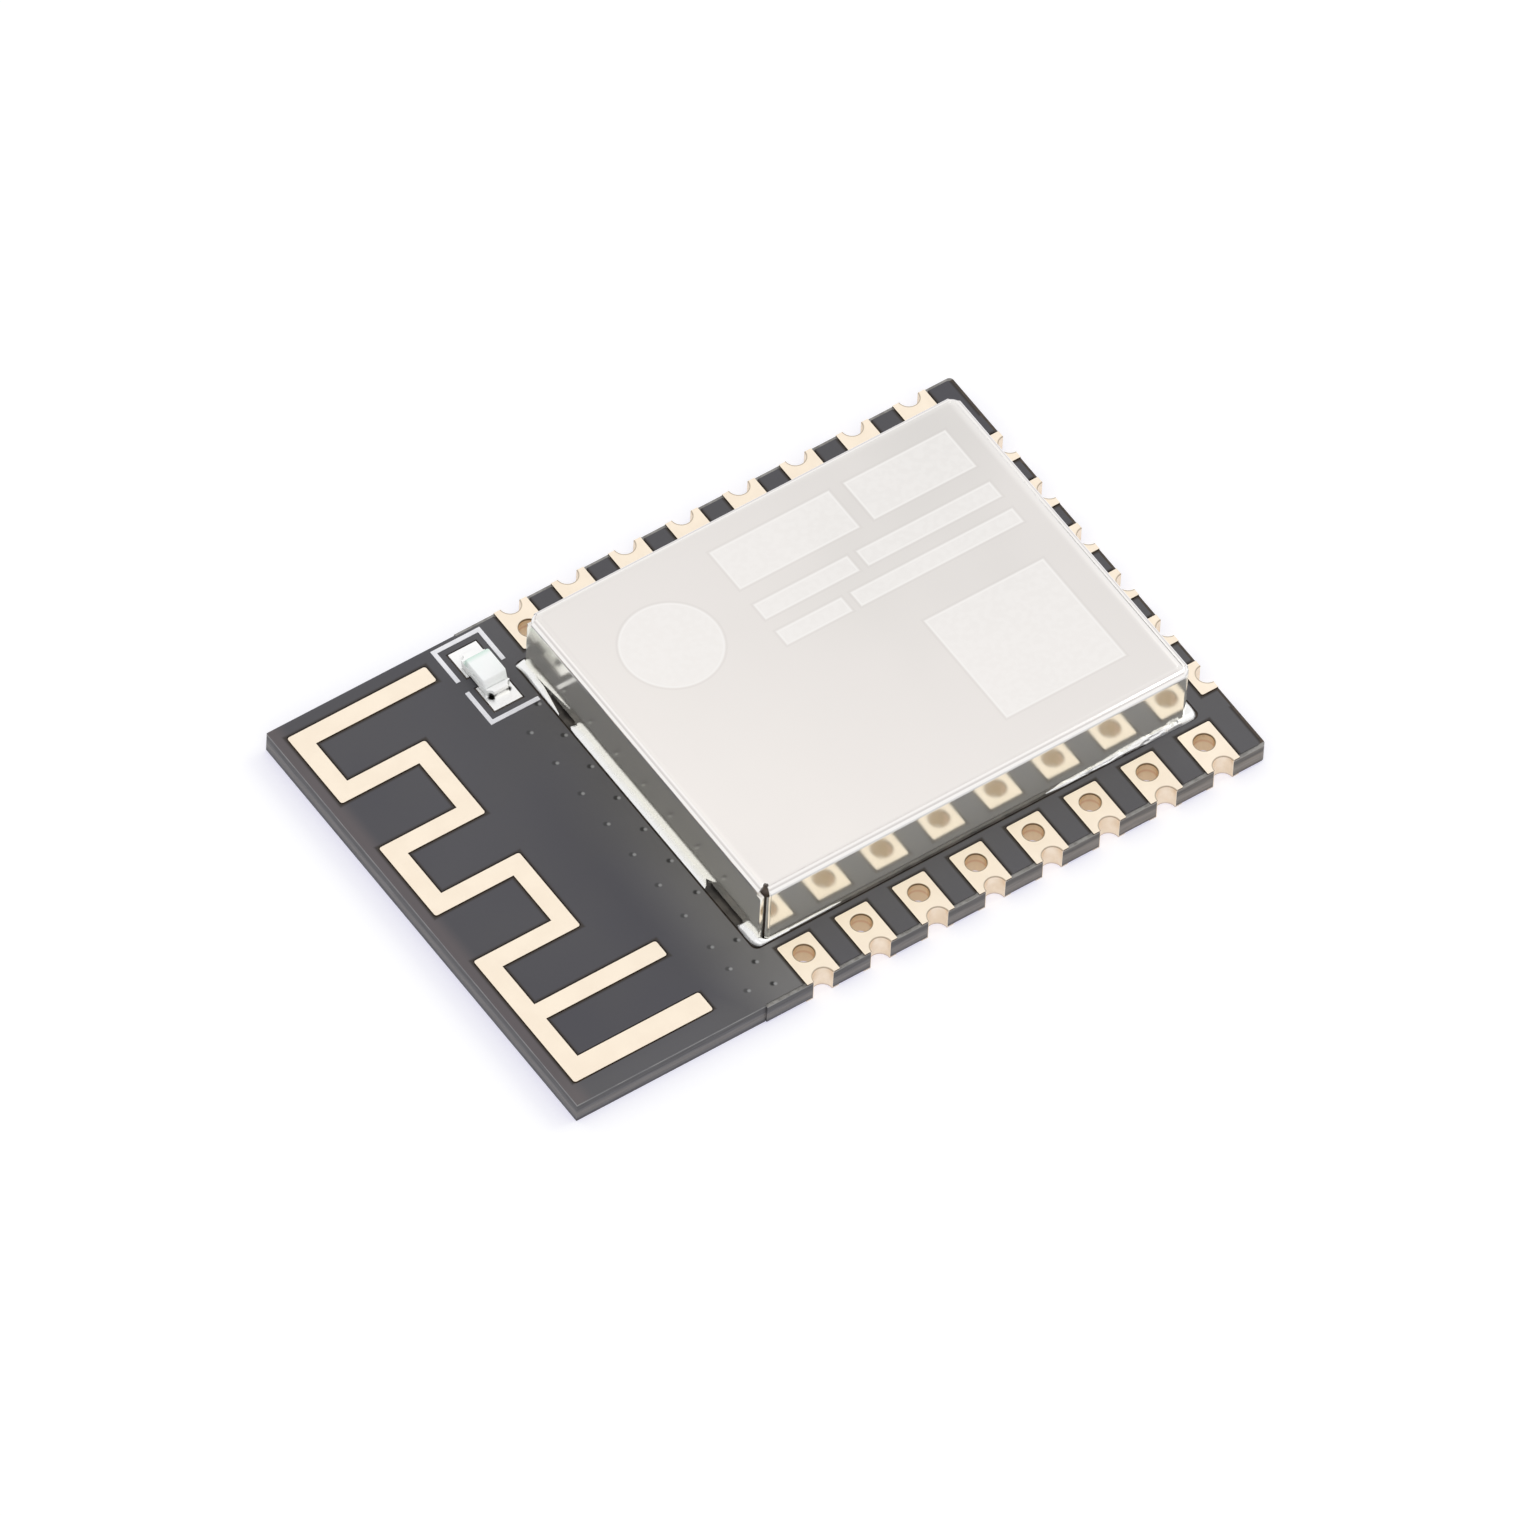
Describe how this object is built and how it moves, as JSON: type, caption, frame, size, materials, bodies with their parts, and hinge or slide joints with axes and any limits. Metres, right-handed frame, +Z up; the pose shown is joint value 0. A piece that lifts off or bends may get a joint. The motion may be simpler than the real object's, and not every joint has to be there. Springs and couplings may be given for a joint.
{
  "type": "wifi module",
  "caption": "Surface-mount Wi-Fi radio module: black castellated circuit board with a gold meander antenna, status lamp and folded metal shield.",
  "frame": {"origin": "middle of the board's outline, in the plane of the terminals' soles", "axes": "+X from the antenna end to the plain end with six terminals, +Y to the long side with the status lamp, +Z up out of the shield's roof"},
  "size_m": [0.024, 0.016, 0.003],
  "materials": {
    "laminate": "satin",
    "solder_mask": "semi-gloss",
    "pad_gold": "satin gold flash over copper",
    "tinned": "bright tin solder",
    "shield_metal": "satin top, mirror walls",
    "white_ink": "matte",
    "lamp_clear": "gloss, translucent",
    "lamp_white": "matte",
    "chip_black": "matte",
    "chip_ceramic": "matte"
  },
  "bodies": {
    "root": {"board": "laminate", "solder_mask_top": "solder_mask", "solder_mask_bottom": "solder_mask", "antenna_trace": "pad_gold", "terminal_01": "pad_gold", "terminal_02": "pad_gold", "terminal_03": "pad_gold", "terminal_04": "pad_gold", "terminal_05": "pad_gold", "terminal_06": "pad_gold", "terminal_07": "pad_gold", "terminal_08": "pad_gold", "terminal_09": "pad_gold", "terminal_10": "pad_gold", "terminal_11": "pad_gold", "terminal_12": "pad_gold", "terminal_13": "pad_gold", "terminal_14": "pad_gold", "terminal_15": "pad_gold", "terminal_16": "pad_gold", "terminal_17": "pad_gold", "terminal_18": "pad_gold", "terminal_19": "pad_gold", "terminal_20": "pad_gold", "terminal_21": "pad_gold", "terminal_22": "pad_gold", "ground_vias": "pad_gold", "ground_ring": "tinned", "component_pads": "pad_gold", "shield_can": "shield_metal", "shield_solder": "tinned", "silkscreen": "white_ink", "lamp_pads": "tinned", "lamp_base": "lamp_white", "lamp_terminals": "tinned", "lamp_lens": "lamp_clear", "lamp_solder": "tinned", "radio_chip": "chip_black", "radio_contacts": "tinned", "memory_chip": "chip_black", "memory_leads": "tinned", "crystal_base": "chip_ceramic", "crystal_lid": "shield_metal", "capacitor_bodies": "chip_ceramic", "capacitor_ends": "tinned", "resistor_bodies": "chip_black", "resistor_ends": "tinned", "inductor_body": "chip_ceramic", "inductor_ends": "tinned"}
  },
  "joints": []
}
